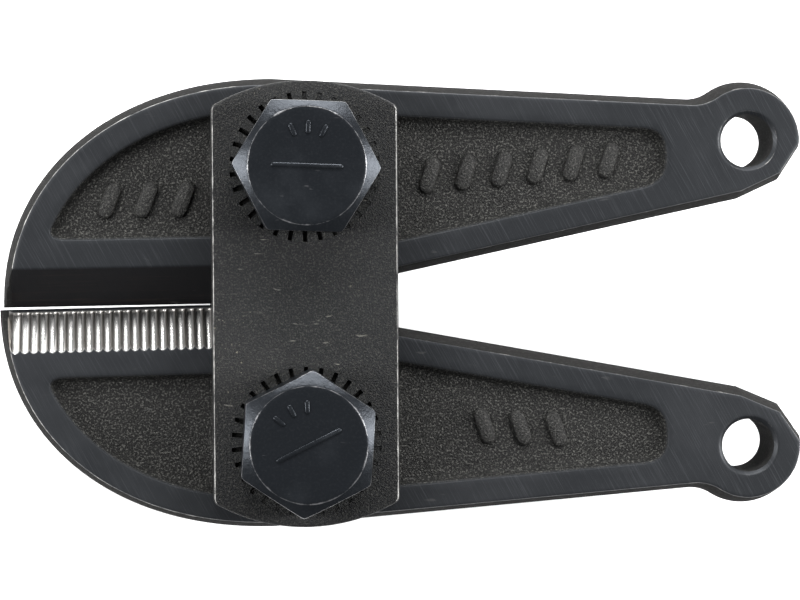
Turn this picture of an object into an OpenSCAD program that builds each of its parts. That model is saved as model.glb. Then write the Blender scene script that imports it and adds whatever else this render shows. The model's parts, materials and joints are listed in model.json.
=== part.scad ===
// Jaw head of a pair of bolt cutters: two drop-forged jaws, two link plates,
// and two pivot bolts with their sleeves and nuts. Millimetres.
// The head lies on its bolt ends: +X runs from the tips to the handle eyes,
// +Y from the lower jaw to the upper jaw, +Z up through the bolt heads.
// The origin is under the middle of the head, on the surface it lies on.

/* [Jaws] */
// Length of the jaws ahead of their pivot, pivot to tip
tip_reach = 40.4; // [34:0.2:50]
// Length of the arm behind the pivot, pivot to handle eye
arm_reach = 60.5; // [50:0.5:75]
// Height of each pivot over the cutting line
pivot_rise = 18.2; // [15:0.2:22]
// Metal between the pivot and the crest of the shoulder over it
shoulder_over_pivot = 12.2; // [10:0.2:15]
// Distance of the shoulder's crest ahead of the pivot
crest_ahead = 4; // [2:0.5:8]
// How square the nose is: 2 is a plain ellipse
nose_power = 2.14; // [2:0.02:2.6]
// Thickness of the jaws
jaw_t = 10; // [8:0.5:13]
// How much narrower the faces are than the forging's parting line, each side
draft = 1.05; // [0.4:0.05:1.3]

/* [Handle eyes] */
// Height of the handle eye over the cutting line
eye_rise = 20.9; // [17:0.2:25.2]
// Outer radius of the eye
eye_r = 8.2; // [7:0.1:10]
// Bore of the eye, for the handle pin
eye_bore_d = 7.2; // [6:0.1:9]
// Chamfer round the eye's bore
eye_chamfer = 0.45; // [0.1:0.05:0.8]
// Height of the arm's back over the eye's centre
neck_over_eye = 5.5; // [4.5:0.1:6.5]
// Fillet between the arm's back and the eye
neck_r = 5; // [2:0.5:8]
// Metal ground off the inner side of the eye
eye_grind = 1.3; // [0.6:0.1:1.6]
// Metal ground off the end of the eye
end_grind = 1; // [0.5:0.1:1.4]

/* [Cutting edges] */
// Gap between the cutting edges when the jaws are shut
edge_gap = 0.1; // [0.1:0.05:0.5]
// Opening of each jaw as drawn, in degrees
rest_opening = 0.15; // [0:0.05:1]
// Width of the ground bevel, seen from the front
bevel_w = 5.3; // [4:0.1:6.5]
// Width of the flat left on the cutting edge
edge_land = 0.4; // [0.2:0.05:1]
// Distance of the heel ahead of the pivot, where the cutting edge ends
heel_ahead = 5; // [4:0.5:8]
// Length of the cutting side left square beside the heel
heel_flat = 0.5; // [0.2:0.1:1]
// Spacing of the gripping flutes
flute_pitch = 1.22; // [0.9:0.02:2]
// Depth of the gripping flutes
flute_depth = 0.35; // [0.15:0.05:0.5]
// Plain bevel left between the cutting edge and the flutes
flute_land = 0.5; // [0.3:0.1:1]
// Plain bevel left at both ends of the row of flutes
flute_margin = 1.5; // [1:0.1:3]

/* [Forged pockets] */
// Width of the rim round the pockets
rim_w = 3.2; // [2:0.1:4.5]
// Width of the rim between the bevel and the nose's pocket
bevel_rim_w = 3.6; // [2:0.1:5]
// Width of the rim between the eye and the arm's pocket
eye_rim_w = 2.8; // [2:0.1:4.5]
// Depth of the pockets
pocket_depth = 1.2; // [0.6:0.1:1.8]
// How far the pocket walls lean in from top to bottom
pocket_slope = 0.6; // [0.2:0.1:1]
// Radius of the full-thickness boss round the pivot
boss_r = 11.4; // [10:0.2:12]
// Height of the raised bars on the pocket floors
bar_height = 0.5; // [0.3:0.05:0.6]
// Length of the raised bars
bar_length = 5.2; // [3:0.1:6]
// Width of the raised bars
bar_width = 2.2; // [1:0.1:3]
// Spacing of the raised bars in their row
bar_pitch = 4.9; // [3.5:0.1:6]
// Lean of the raised bars to their row, in degrees
bar_lean = 68; // [45:1:90]
// Number of raised bars on the front of the nose
nose_bars = 3; // [1:1:3]
// Number of raised bars on the front of the arm
front_arm_bars = 6; // [1:1:6]
// Number of raised bars on the back of the arm
back_arm_bars = 3; // [1:1:6]

/* [Link plates] */
// Width of the link plates
plate_w = 24.7; // [20:0.1:30]
// Thickness of the link plates
plate_t = 5; // [3:0.5:7]
// Plate beyond each pivot, to the crown of its end
plate_end = 11.4; // [10:0.2:15]
// Height of the crowned end over its corners
plate_crown = 3.4; // [1:0.2:5]
// How far the plates lean off square to the cutting line, in degrees
plate_lean = 0.8; // [-2:0.1:2]
// Number of teeth pressed round each bolt
tooth_count = 30; // [12:2:40]
// Inner radius of the ring of teeth
tooth_inner_r = 6.6; // [6.4:0.1:8]
// Outer radius of the ring of teeth
tooth_ring_r = 9.95; // [9.4:0.05:10]
// Width of each gap between the teeth
tooth_gap_w = 0.5; // [0.3:0.05:0.8]
// Depth of the gaps between the teeth
tooth_depth = 0.45; // [0.2:0.05:0.8]

/* [Pivots] */
// Thread diameter of the pivot bolts
bolt_d = 10; // [8:0.5:12]
// How far the bolt ends stand proud of the nuts
bolt_proud = 1.9; // [1:0.1:5]
// Width across flats of the bolt heads and nuts
hex_af = 17; // [16:0.5:20]
// Height of the bolt heads
head_h = 6.4; // [5:0.1:8]
// Height of the nuts
nut_h = 8; // [6:0.1:9.5]
// Share of the width across flats left flat on a chamfered hexagon
hex_top_share = 0.9; // [0.85:0.01:0.95]
// Chamfer on the bolt ends
thread_chamfer = 0.9; // [0.5:0.1:1.2]
// Wall of the sleeves that the jaws turn on
sleeve_wall = 1.45; // [1:0.05:2]
// Radial clearance of a sleeve on its bolt
sleeve_clearance = 0.05; // [0.02:0.01:0.1]
// Radial running clearance of a jaw on its sleeve
running_clearance = 0.05; // [0.02:0.01:0.1]
// Gap between each side of a jaw and the plate beside it
side_clearance = 0.05; // [0.02:0.01:0.2]
// Radial clearance of a bolt in the link plates
plate_clearance = 0.1; // [0.05:0.05:0.3]
// Radial clearance between the plain thread cylinders of bolt and nut
thread_clearance = 0.05; // [0.02:0.01:0.1]

/* [Hidden] */
$fn = 96;

// Heights over the surface that the head lies on
sleeve_len = jaw_t + 2 * side_clearance;
back_nut_z = bolt_proud;
back_plate_z = back_nut_z + nut_h;
jaw_mid_z = back_plate_z + plate_t + sleeve_len / 2;
front_plate_z = back_plate_z + plate_t + sleeve_len;
head_z = front_plate_z + plate_t;

// Places of the two pivots, with the middle of the head's length at x = 0
middle_x = (arm_reach + eye_r - tip_reach) / 2;
lean_shift = pivot_rise * tan(plate_lean);
UPPER = [lean_shift - middle_x, pivot_rise];
LOWER = [-lean_shift - middle_x, -pivot_rise];

// Sizes that follow from the pivots
sleeve_r = bolt_d / 2 + sleeve_clearance + sleeve_wall;
pivot_bore_r = sleeve_r + running_clearance;
plate_half = pivot_rise / cos(plate_lean) + plate_end;
end_r = (pow(plate_w / 2, 2) + pow(plate_crown, 2)) / (2 * plate_crown);
corner_d = hex_af / cos(30);
eps = 0.01;

// Landmarks of a jaw seen from the front, with its cutting line on y = 0
half_gap = edge_gap / 2;
shoulder_rise = pivot_rise + shoulder_over_pivot;
crest = [-crest_ahead, shoulder_rise];
eye = [arm_reach, eye_rise];
heel = [-heel_ahead, half_gap];
back_angle = atan2(eye.y + neck_over_eye - crest.y, eye.x - crest.x);
inner_depth = eye_r - 0.5 * eye_grind;
inner_angle = atan2(eye.y - heel.y, eye.x - heel.x) - asin(inner_depth / norm(eye - heel));

function along(angle) = [cos(angle), sin(angle)];
function arc(centre, r, from, to, steps, first = 0) =
    [for (i = [first:steps]) centre + r * along(from + (to - from) * i / steps)];

// Where two flats round a centre meet, each given by its direction and distance
function flats_meet(centre, a, ra, b, rb) =
    centre + [ra * sin(b) - rb * sin(a), rb * cos(a) - ra * cos(b)] / sin(b - a);

// The nose is a quarter of a superellipse, pulled in by an inset
nose_a = tip_reach - crest_ahead;
function nose_x(y, inset) =
    crest.x - (nose_a - inset) * pow(1 - pow(y / (shoulder_rise - inset), nose_power), 1 / nose_power);
function nose(inset, from, steps) = [
    for (i = [steps:-1:0])
        let (t = from + (90 - from) * i / steps)
        [crest.x - (nose_a - inset) * pow(max(cos(t), 0), 2 / nose_power),
         (shoulder_rise - inset) * pow(sin(t), 2 / nose_power)]
];
function nose_start(y, inset) = asin(pow(y / (shoulder_rise - inset), nose_power / 2));

// Outline of a jaw at its parting line, counterclockwise. It starts under the eye, because
// every other corner can be seen from there, so that the face is a plain fan of triangles.
low_grind_r = eye_r - eye_grind;
end_grind_r = eye_r - end_grind;
low_flat = -66;
side_flat = -34;
neck_drop = (eye - crest) * [-sin(back_angle), cos(back_angle)];
neck_centre = eye + (neck_r - neck_drop) * [-sin(back_angle), cos(back_angle)]
    - sqrt(pow(eye_r + neck_r, 2) - pow(neck_r - neck_drop, 2)) * along(back_angle);
neck_to_eye = atan2(neck_centre.y - eye.y, neck_centre.x - eye.x);
outline = concat(
    [flats_meet(eye, inner_angle - 90, inner_depth, low_flat, low_grind_r)],
    [flats_meet(eye, low_flat, low_grind_r, side_flat, end_grind_r)],
    arc(eye, eye_r, side_flat + acos(end_grind_r / eye_r), neck_to_eye, 20),
    arc(neck_centre, neck_r, neck_to_eye + 180, back_angle + 270, 5, first = 1),
    nose(0, nose_start(half_gap, 0), 30),
    [heel]
);

// Moves each side of a closed outline inwards by its own distance
function side_normal(p, q) = [p.y - q.y, q.x - p.x] / norm(q - p);
function pulled_in(points, distances) = [
    for (i = [0:len(points) - 1])
        let (n = len(points),
             before = side_normal(points[(i + n - 1) % n], points[i]),
             after = side_normal(points[i], points[(i + 1) % n]),
             d1 = distances[(i + n - 1) % n],
             d2 = distances[i],
             turn = before.x * after.y - before.y * after.x)
        abs(turn) < 0.002 ? points[i] + before * d1
            : points[i] + [d1 * after.y - d2 * before.y, d2 * before.x - d1 * after.x] / turn
];
function same_distance(points, d) = [for (p = points) d];

// A solid through layers of equally many points, each layer given with its height. Both
// end faces are fans from the first point.
module layered(layers, heights) {
    n = len(layers[0]);
    last = len(layers) - 1;
    polyhedron(
        points = [for (k = [0:last]) for (p = layers[k]) [p.x, p.y, heights[k]]],
        faces = concat(
            [[for (i = [0:n - 1]) i]],
            [[for (i = [n:-1:1]) last * n + i % n]],
            [for (k = [0:last - 1]) for (i = [0:n - 1])
                [k * n + i, (k + 1) * n + i, k * n + (i + 1) % n]],
            [for (k = [0:last - 1]) for (i = [0:n - 1])
                [k * n + (i + 1) % n, (k + 1) * n + i, (k + 1) * n + (i + 1) % n]]
        )
    );
}

// The forging has its parting line at half its thickness; the ground cutting line has no draft
module jaw_blank() {
    cut_side = len(outline) - 2;
    face = pulled_in(outline, [for (i = [0:len(outline) - 1]) i == cut_side ? 0 : draft]);
    layered([face, outline, face], [-jaw_t / 2, 0, jaw_t / 2]);
}

// Removes the ground bevel on one face: a wedge along the cutting line
module bevel_cut() {
    rise = jaw_t / 2 - edge_land / 2;
    past = 1;
    top_y = half_gap + bevel_w * (1 + past / rise);
    translate([-heel_ahead - heel_flat, 0, 0])
        rotate([90, 0, -90])
            linear_extrude(tip_reach)
                polygon([
                    [-half_gap + eps, edge_land / 2], [-top_y, jaw_t / 2 + past],
                    [past, jaw_t / 2 + past], [past, edge_land / 2]
                ]);
}

// Flutes ground down a bevel, square to the cutting edge. Neighbours overlap a little, so
// that they meet in sharp ridges.
flute_r = 1.02 * (pow(flute_pitch / 2, 2) + pow(flute_depth, 2)) / (2 * flute_depth);
bevel_angle = atan2(jaw_t / 2 - edge_land / 2, bevel_w);
bevel_slope = norm([bevel_w, jaw_t / 2 - edge_land / 2]);
module flutes() {
    count = 1 + floor((tip_reach - heel_ahead - 2 * flute_margin) / flute_pitch);
    for (i = [0:count - 1])
        translate([-heel_ahead - flute_margin - i * flute_pitch, half_gap, edge_land / 2])
            rotate([bevel_angle, 0, 0])
                translate([0, flute_land, flute_r - flute_depth])
                    rotate([-90, 0, 0])
                        cylinder(h = bevel_slope, r = flute_r, $fn = 24);
}

// A corner rounded off from a to b, with its point at c
function bend(a, c, b) = [for (t = [0:0.2:1]) (1 - t) * (1 - t) * a + 2 * t * (1 - t) * c + t * t * b];

// The pockets follow the rims of the forging
rim = draft + rim_w;
function floor_of_arm(x) =
    heel.y + (x - heel.x) * tan(inner_angle) + rim / cos(inner_angle);
function back_of_arm(x) =
    crest.y + (x - crest.x) * tan(back_angle) - rim / cos(back_angle);
nose_pocket_y = half_gap + bevel_w + bevel_rim_w;
nose_pocket = concat(
    bend([nose_x(nose_pocket_y + 2, rim), nose_pocket_y + 2],
         [nose_x(nose_pocket_y, rim), nose_pocket_y],
         [nose_x(nose_pocket_y, rim) + 3, nose_pocket_y]),
    [[crest.x, nose_pocket_y]],
    nose(rim, nose_start(nose_pocket_y + 3, rim), 14)
);
arm_pocket_end = eye.x - eye_r - eye_rim_w;
end_bend = 0.44 * (back_of_arm(arm_pocket_end) - floor_of_arm(arm_pocket_end));
arm_pocket = concat(
    [[3, floor_of_arm(3)]],
    bend([arm_pocket_end - end_bend, floor_of_arm(arm_pocket_end - end_bend)],
         [arm_pocket_end, floor_of_arm(arm_pocket_end)],
         [arm_pocket_end, floor_of_arm(arm_pocket_end) + end_bend]),
    bend([arm_pocket_end, back_of_arm(arm_pocket_end) - end_bend],
         [arm_pocket_end, back_of_arm(arm_pocket_end)],
         [arm_pocket_end - end_bend, back_of_arm(arm_pocket_end - end_bend)]),
    [[3, back_of_arm(3)]]
);
module pocket_cut(opening) {
    over = 0.5;
    floor_z = jaw_t / 2 - pocket_depth;
    difference() {
        layered(
            [pulled_in(opening, same_distance(opening, pocket_slope)),
             pulled_in(opening, same_distance(opening, -pocket_slope * over / pocket_depth))],
            [floor_z, jaw_t / 2 + over]
        );
        translate([0, pivot_rise, floor_z - over])
            cylinder(h = pocket_depth + 3 * over, r = boss_r);
    }
}

// A row of plain raised bars on a pocket floor
module bar() {
    end = (bar_length - bar_width) / 2;
    linear_extrude(bar_height + eps)
        polygon(concat(
            arc([end, 0], bar_width / 2, -90, 90, 8),
            arc([-end, 0], bar_width / 2, 90, 270, 8)
        ));
}
module bar_row(centre, turn, count) {
    translate([centre.x, centre.y, jaw_t / 2 - pocket_depth - eps])
        rotate([0, 0, turn])
            for (i = [0:count - 1])
                translate([(i - (count - 1) / 2) * bar_pitch, 0, 0])
                    rotate([0, 0, bar_lean])
                        bar();
}
arm_bar_turn = (inner_angle + back_angle) / 2;
arm_bar_x = (boss_r + arm_pocket_end) / 2 - bar_width / 2;
arm_bar_centre = [arm_bar_x, (floor_of_arm(arm_bar_x) + back_of_arm(arm_bar_x)) / 2];
nose_bar_x = -boss_r - bar_width - nose_bars * bar_pitch / 2;
nose_bar_centre = [nose_bar_x, nose_pocket_y + bar_length];

// A whole jaw about its pivot: the smooth bevel is up, the fluted bevel is down
module jaw() {
    color([0.16, 0.17, 0.18])
        translate([0, -pivot_rise, 0]) {
            difference() {
                jaw_blank();
                bevel_cut();
                mirror([0, 0, 1]) {
                    bevel_cut();
                    flutes();
                }
                for (side = [0, 1])
                    mirror([0, 0, side]) {
                        pocket_cut(nose_pocket);
                        pocket_cut(arm_pocket);
                        translate([eye.x, eye.y, jaw_t / 2 - eye_chamfer])
                            cylinder(h = 2 * eye_chamfer, r1 = eye_bore_d / 2, r2 = eye_bore_d / 2 + 2 * eye_chamfer);
                    }
                translate([0, pivot_rise, -jaw_t])
                    cylinder(h = 2 * jaw_t, r = pivot_bore_r);
                translate([eye.x, eye.y, -jaw_t])
                    cylinder(h = 2 * jaw_t, d = eye_bore_d);
            }
            bar_row(nose_bar_centre, 0, nose_bars);
            bar_row(arm_bar_centre, arm_bar_turn, front_arm_bars);
            mirror([0, 0, 1])
                bar_row(arm_bar_centre, arm_bar_turn, back_arm_bars);
        }
}

module upper_jaw() {
    translate([UPPER.x, UPPER.y, jaw_mid_z])
        rotate([0, 0, -rest_opening])
            jaw();
}

module lower_jaw() {
    translate([LOWER.x, LOWER.y, jaw_mid_z])
        rotate([180, 0, rest_opening])
            jaw();
}

// A link plate with crowned ends and teeth pressed round each hole on its upper face
module link_plate() {
    hole_spacing = pivot_rise / cos(plate_lean);
    color([0.2, 0.2, 0.21])
        difference() {
            linear_extrude(plate_t)
                for (half = [0, 1])
                    mirror([0, half])
                        intersection() {
                            translate([-plate_w / 2, 0])
                                square([plate_w, plate_half]);
                            translate([0, plate_half - end_r])
                                circle(end_r);
                        }
            for (side = [-1, 1])
                translate([0, side * hole_spacing, 0]) {
                    translate([0, 0, -1])
                        cylinder(h = plate_t + 2, r = bolt_d / 2 + plate_clearance);
                    for (i = [0:tooth_count - 1])
                        rotate([0, 0, i * 360 / tooth_count])
                            translate([tooth_inner_r, -tooth_gap_w / 2, plate_t - tooth_depth])
                                cube([tooth_ring_r - tooth_inner_r, tooth_gap_w, 2 * tooth_depth]);
                }
        }
}

module front_link_plate() {
    translate([-middle_x, 0, front_plate_z])
        rotate([0, 0, -plate_lean])
            link_plate();
}

module back_link_plate() {
    translate([-middle_x, 0, back_plate_z + plate_t])
        rotate([180, 0, -plate_lean])
            link_plate();
}

// The chamfered top of a hexagon, as the cone that trims it
module hex_trim(height) {
    top_r = hex_top_share * hex_af / 2;
    slope = tan(30);
    cylinder(h = height, r1 = top_r + height / slope, r2 = top_r);
}

module pivot_bolt(place, turn) {
    color([0.14, 0.15, 0.17])
        translate([place.x, place.y, 0]) {
            translate([0, 0, head_z])
                intersection() {
                    rotate([0, 0, turn])
                        cylinder(h = head_h, d = corner_d, $fn = 6);
                    hex_trim(head_h);
                }
            translate([0, 0, thread_chamfer])
                cylinder(h = head_z - thread_chamfer, d = bolt_d);
            cylinder(h = thread_chamfer, d1 = bolt_d - 2 * thread_chamfer, d2 = bolt_d);
        }
}

module pivot_nut(place, turn) {
    color([0.18, 0.18, 0.19])
        translate([place.x, place.y, back_nut_z])
            difference() {
                intersection() {
                    rotate([0, 0, turn])
                        cylinder(h = nut_h, d = corner_d, $fn = 6);
                    hex_trim(nut_h);
                    translate([0, 0, nut_h])
                        mirror([0, 0, 1])
                            hex_trim(nut_h);
                }
                translate([0, 0, -1])
                    cylinder(h = nut_h + 2, r = bolt_d / 2 + thread_clearance);
            }
}

module pivot_sleeve(place) {
    color([0.55, 0.55, 0.56])
        translate([place.x, place.y, back_plate_z + plate_t])
            difference() {
                cylinder(h = sleeve_len, r = sleeve_r);
                translate([0, 0, -1])
                    cylinder(h = sleeve_len + 2, r = bolt_d / 2 + sleeve_clearance);
            }
}

// The turns the hexagons were left at when they were tightened
upper_bolt_turn = -2.9;
lower_bolt_turn = 25.3;
upper_nut_turn = 11;
lower_nut_turn = -8;

module upper_pivot_bolt() { pivot_bolt(UPPER, upper_bolt_turn); }
module lower_pivot_bolt() { pivot_bolt(LOWER, lower_bolt_turn); }
module upper_pivot_nut() { pivot_nut(UPPER, upper_nut_turn); }
module lower_pivot_nut() { pivot_nut(LOWER, lower_nut_turn); }
module upper_pivot_sleeve() { pivot_sleeve(UPPER); }
module lower_pivot_sleeve() { pivot_sleeve(LOWER); }

upper_jaw();
lower_jaw();
front_link_plate();
back_link_plate();
upper_pivot_bolt();
lower_pivot_bolt();
upper_pivot_nut();
lower_pivot_nut();
upper_pivot_sleeve();
lower_pivot_sleeve();
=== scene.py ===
# %% [markdown]
# # The jaw head of a pair of bolt cutters
#
# Two drop-forged jaws turn on two bolts, and two link plates hold the bolts apart. This
# script loads the mechanical model as a fixed frame and builds the visible skin round it:
# rounded forging edges, ground bevels, pressed teeth, chamfered hexagons and their finishes.
# All sizes are in millimetres, and each mesh is brought to metres when it is finished.

# %% Load the frame
import json
import math

import bmesh
import bpy
import numpy as np
from mathutils import Matrix, Vector, noise
from mathutils.geometry import delaunay_2d_cdt


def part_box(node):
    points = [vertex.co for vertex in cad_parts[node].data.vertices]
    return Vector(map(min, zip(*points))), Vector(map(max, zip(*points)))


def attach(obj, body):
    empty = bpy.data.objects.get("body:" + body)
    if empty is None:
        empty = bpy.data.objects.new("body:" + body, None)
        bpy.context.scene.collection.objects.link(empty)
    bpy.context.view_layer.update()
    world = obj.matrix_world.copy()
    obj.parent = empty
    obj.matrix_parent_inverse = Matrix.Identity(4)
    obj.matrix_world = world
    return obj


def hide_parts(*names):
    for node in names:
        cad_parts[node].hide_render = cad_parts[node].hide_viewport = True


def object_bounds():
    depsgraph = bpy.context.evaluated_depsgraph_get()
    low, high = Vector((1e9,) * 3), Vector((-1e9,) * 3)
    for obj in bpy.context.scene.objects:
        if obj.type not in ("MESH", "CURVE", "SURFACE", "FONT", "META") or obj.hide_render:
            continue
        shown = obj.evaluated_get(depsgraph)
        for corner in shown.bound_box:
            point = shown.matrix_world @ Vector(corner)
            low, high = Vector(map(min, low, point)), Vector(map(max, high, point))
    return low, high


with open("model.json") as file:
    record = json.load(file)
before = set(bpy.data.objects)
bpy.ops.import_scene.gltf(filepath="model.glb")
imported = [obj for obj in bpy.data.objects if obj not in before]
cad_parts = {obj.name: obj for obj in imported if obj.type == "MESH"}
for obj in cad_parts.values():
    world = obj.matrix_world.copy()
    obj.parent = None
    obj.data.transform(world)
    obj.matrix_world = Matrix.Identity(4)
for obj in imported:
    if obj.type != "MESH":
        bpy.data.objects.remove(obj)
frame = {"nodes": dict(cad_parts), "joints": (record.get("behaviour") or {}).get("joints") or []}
cad_box = [list(corner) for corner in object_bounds()]
MM = 0.001
print("frame nodes:", sorted(frame["nodes"]))

# %% [markdown]
# ## Sizes
#
# What the mechanical model already knows is read from the frame: the heights of the plates
# and jaws, and the places of the pivots. The shapes of the forging are named here, because
# a finished mesh doesn't say which of its sizes were chosen.

# %% Heights and pivots, from the frame
pivots = {j["child"]: Vector(j["pos_m"]) / MM for j in frame["joints"]}
UPPER, LOWER = pivots["upper_jaw_body"], pivots["lower_jaw_body"]


def z_range(node):
    low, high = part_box(node)
    return low.z / MM, high.z / MM


jaw_bottom, jaw_top = z_range("upper_jaw")
HALF_T = (jaw_top - jaw_bottom) / 2
back_low, back_high = z_range("back_link_plate")
front_low, front_high = z_range("front_link_plate")
PLATE_T = front_high - front_low
bolt_top = z_range("upper_pivot_bolt")[1]
nut_low, nut_high = z_range("upper_pivot_nut")
print(f"jaws {2 * HALF_T:.2f} thick, plates {PLATE_T:.2f}, bolt top at {bolt_top:.2f}")

# %% The jaws' own sizes
TIP_REACH, ARM_REACH, PIVOT_RISE = 40.4, 60.5, UPPER.y
SHOULDER_OVER_PIVOT, CREST_AHEAD, NOSE_POWER = 12.2, 4.0, 2.14
DRAFT = 1.05
EYE_RISE, EYE_R, EYE_BORE_R, EYE_CHAMFER = 20.9, 8.2, 3.6, 0.45
NECK_OVER_EYE, NECK_R, LOW_GRIND, END_GRIND = 5.5, 5.0, 1.3, 1.0
HALF_GAP, BEVEL_W, EDGE_LAND = 0.05, 5.3, 0.4
HEEL_AHEAD, HEEL_FLAT = 5.0, 0.5
FLUTE_PITCH, FLUTE_DEPTH, FLUTE_LAND, FLUTE_MARGIN = 1.22, 0.35, 0.5, 1.5
RIM_W, BEVEL_RIM_W, EYE_RIM_W = 3.2, 3.6, 2.8
POCKET_DEPTH, POCKET_SLOPE, BOSS_R = 1.2, 1.05, 11.4
BAR_LENGTH, BAR_WIDTH, BAR_HEIGHT, BAR_PITCH, BAR_LEAN = 5.2, 2.2, 0.5, 4.9, 68
NOSE_BARS, FRONT_ARM_BARS, BACK_ARM_BARS = 3, 6, 3
PIVOT_BORE_R = 6.55
REST_OPENING = math.radians(0.15)

# %% The link plates' and bolts' own sizes
PLATE_W, PLATE_END, PLATE_CROWN = 24.7, 11.4, 3.4
TOOTH_COUNT, TOOTH_INNER_R, TOOTH_OUTER_R = 30, 6.6, 9.95
TOOTH_GAP, TOOTH_DEPTH = 0.5, 0.45
BOLT_R, HEX_AF, HEX_TOP_SHARE = 5.0, 17.0, 0.9
PLATE_LEAN = math.atan2(UPPER.x - LOWER.x, UPPER.y - LOWER.y)
PLATE_MID_X = (UPPER.x + LOWER.x) / 2
print(f"the plates lean {math.degrees(PLATE_LEAN):.2f} degrees")

# %% [markdown]
# ## Outlines and distances
#
# A forging's section is a function of how far a point is from its edge: a wall that leans
# by the draft angle, a rounded corner, then the flat face. So every surface here is a
# height over the outline, worked out from distances, and these helpers measure them.


# %% Straight runs, arcs and curves as points
def along(degrees):
    return np.array([math.cos(math.radians(degrees)), math.sin(math.radians(degrees))])


def arc(centre, radius, start, end, steps):
    return [np.array(centre) + radius * along(start + (end - start) * i / steps) for i in range(steps + 1)]


def bend(a, corner, b, steps=6):
    a, corner, b = np.array(a), np.array(corner), np.array(b)
    return [(1 - t) ** 2 * a + 2 * t * (1 - t) * corner + t * t * b for t in np.linspace(0, 1, steps)]


def spaced(points, spacing, closed=True):
    """The same line with points added, so that none is further than spacing from the next."""
    points = [np.array(p, float) for p in points]
    ends = points[1:] + points[:1] if closed else points[1:]
    out = []
    for a, b in zip(points, ends):
        steps = max(1, math.ceil(np.linalg.norm(b - a) / spacing))
        out += [a + (b - a) * i / steps for i in range(steps)]
    if not closed:
        out.append(points[-1])
    return np.array(out)


# %% Distances to a line
def distance(points, line, closed=True):
    """Shortest distance from each point to a line of points."""
    a = line if closed else line[:-1]
    b = np.roll(line, -1, axis=0) if closed else line[1:]
    side = b - a
    length = np.maximum((side**2).sum(1), 1e-12)
    best = np.full(len(points), 1e9)
    for start in range(0, len(points), 4000):
        p = points[start : start + 4000, None, :]
        t = np.clip(((p - a) * side).sum(2) / length, 0, 1)
        best[start : start + 4000] = np.sqrt(((a + t[..., None] * side - p) ** 2).sum(2)).min(1)
    return best


def is_inside(points, loop):
    x, y = points[:, 0, None], points[:, 1, None]
    ax, ay = loop.T
    bx, by = np.roll(loop, -1, axis=0).T
    rise = np.where(by == ay, 1e-12, by - ay)
    crosses = ((ay > y) != (by > y)) & (x < (bx - ax) * (y - ay) / rise + ax)
    return crosses.sum(1) % 2 == 1


def depth_inside(points, loop):
    """Distance to a loop, positive inside it and negative outside."""
    return np.where(is_inside(points, loop), 1, -1) * distance(points, loop)


# %% Blending heights
def smaller(a, b, blend):
    """The smaller of two heights, rounded over where they meet."""
    near = np.clip(1 - np.abs(a - b) / blend, 0, 1)
    return np.minimum(a, b) - near * near * blend / 4


def ease(low, high, x):
    t = np.clip((x - low) / (high - low), 0, 1)
    return t * t * (3 - 2 * t)


def ring(loop, inset):
    """A counterclockwise loop pulled in by inset, or let out by a negative one.

    Points that would cross over at a corner are left out.
    """
    before = loop - np.roll(loop, 1, axis=0)
    after = np.roll(loop, -1, axis=0) - loop
    left = [np.stack([-s[:, 1], s[:, 0]], 1) / np.linalg.norm(s, axis=1)[:, None] for s in (before, after)]
    middle = left[0] + left[1]
    middle /= np.linalg.norm(middle, axis=1)[:, None]
    mitre = np.maximum((middle * left[1]).sum(1), 0.5)[:, None]
    moved = loop + inset * middle / mitre
    return moved[distance(moved, loop) > abs(inset) - 0.03]


# %% [markdown]
# ## A solid between two height fields
#
# A plate or a forging is flat enough to be two height fields, one for each face, over one
# outline. Subdividing a box would blur the creases, and cutting with booleans leaves long
# slivers. A constrained Delaunay triangulation keeps every crease line that it is given as
# real edges, so the bevels stay crisp and the rounded corners get rows of their own.


# %% Triangles that keep the crease lines
def triangulated(boundaries, creases, spacing):
    """Points and triangles inside the first boundary and outside the others.

    The third result is the number of each boundary point, in order.
    """
    points, edges = [], []

    def add(line, closed):
        first, count = len(points), len(line)
        points.extend(line)
        for i in range(count if closed else count - 1):
            j = (i + 1) % count
            if np.linalg.norm(line[i] - line[j]) < 3 * spacing:
                edges.append((first + i, first + j))

    for loop in boundaries:
        add(loop, True)
    for line, closed in creases:
        add(line, closed)
    low, high = boundaries[0].min(0), boundaries[0].max(0)
    rows = np.arange(low[1], high[1], spacing * 0.866)
    fill = np.array([
        (x + (i % 2) * spacing / 2, y)
        for i, y in enumerate(rows)
        for x in np.arange(low[0], high[0], spacing)
    ])
    kept = np.array(points)
    clear = np.array([np.abs(kept - p).max(1).min() > 0.45 * spacing for p in fill])
    fill = fill[clear]
    fill = fill[depth_inside(fill, boundaries[0]) > 0.4 * spacing]
    found, _, faces, origins, _, _ = delaunay_2d_cdt(
        [Vector(p) for p in [*points, *fill]], edges, [], 0, 1e-6, True
    )
    xy = np.array([tuple(v) for v in found])
    rim = {given: made for made, several in enumerate(origins) for given in several}
    rim = [rim[i] for i in range(sum(len(loop) for loop in boundaries))]
    tri = np.array([f for f in faces if len(f) == 3])
    a, b, c = xy[tri[:, 0]], xy[tri[:, 1]], xy[tri[:, 2]]
    area = (b - a)[:, 0] * (c - a)[:, 1] - (b - a)[:, 1] * (c - a)[:, 0]
    tri[area < 0] = tri[area < 0][:, ::-1]
    middle = (a + b + c) / 3
    keep = is_inside(middle, boundaries[0]) & (np.abs(area) > 1e-9)
    for hole in boundaries[1:]:
        keep &= ~is_inside(middle, hole)
    return xy, tri[keep], rim


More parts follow.
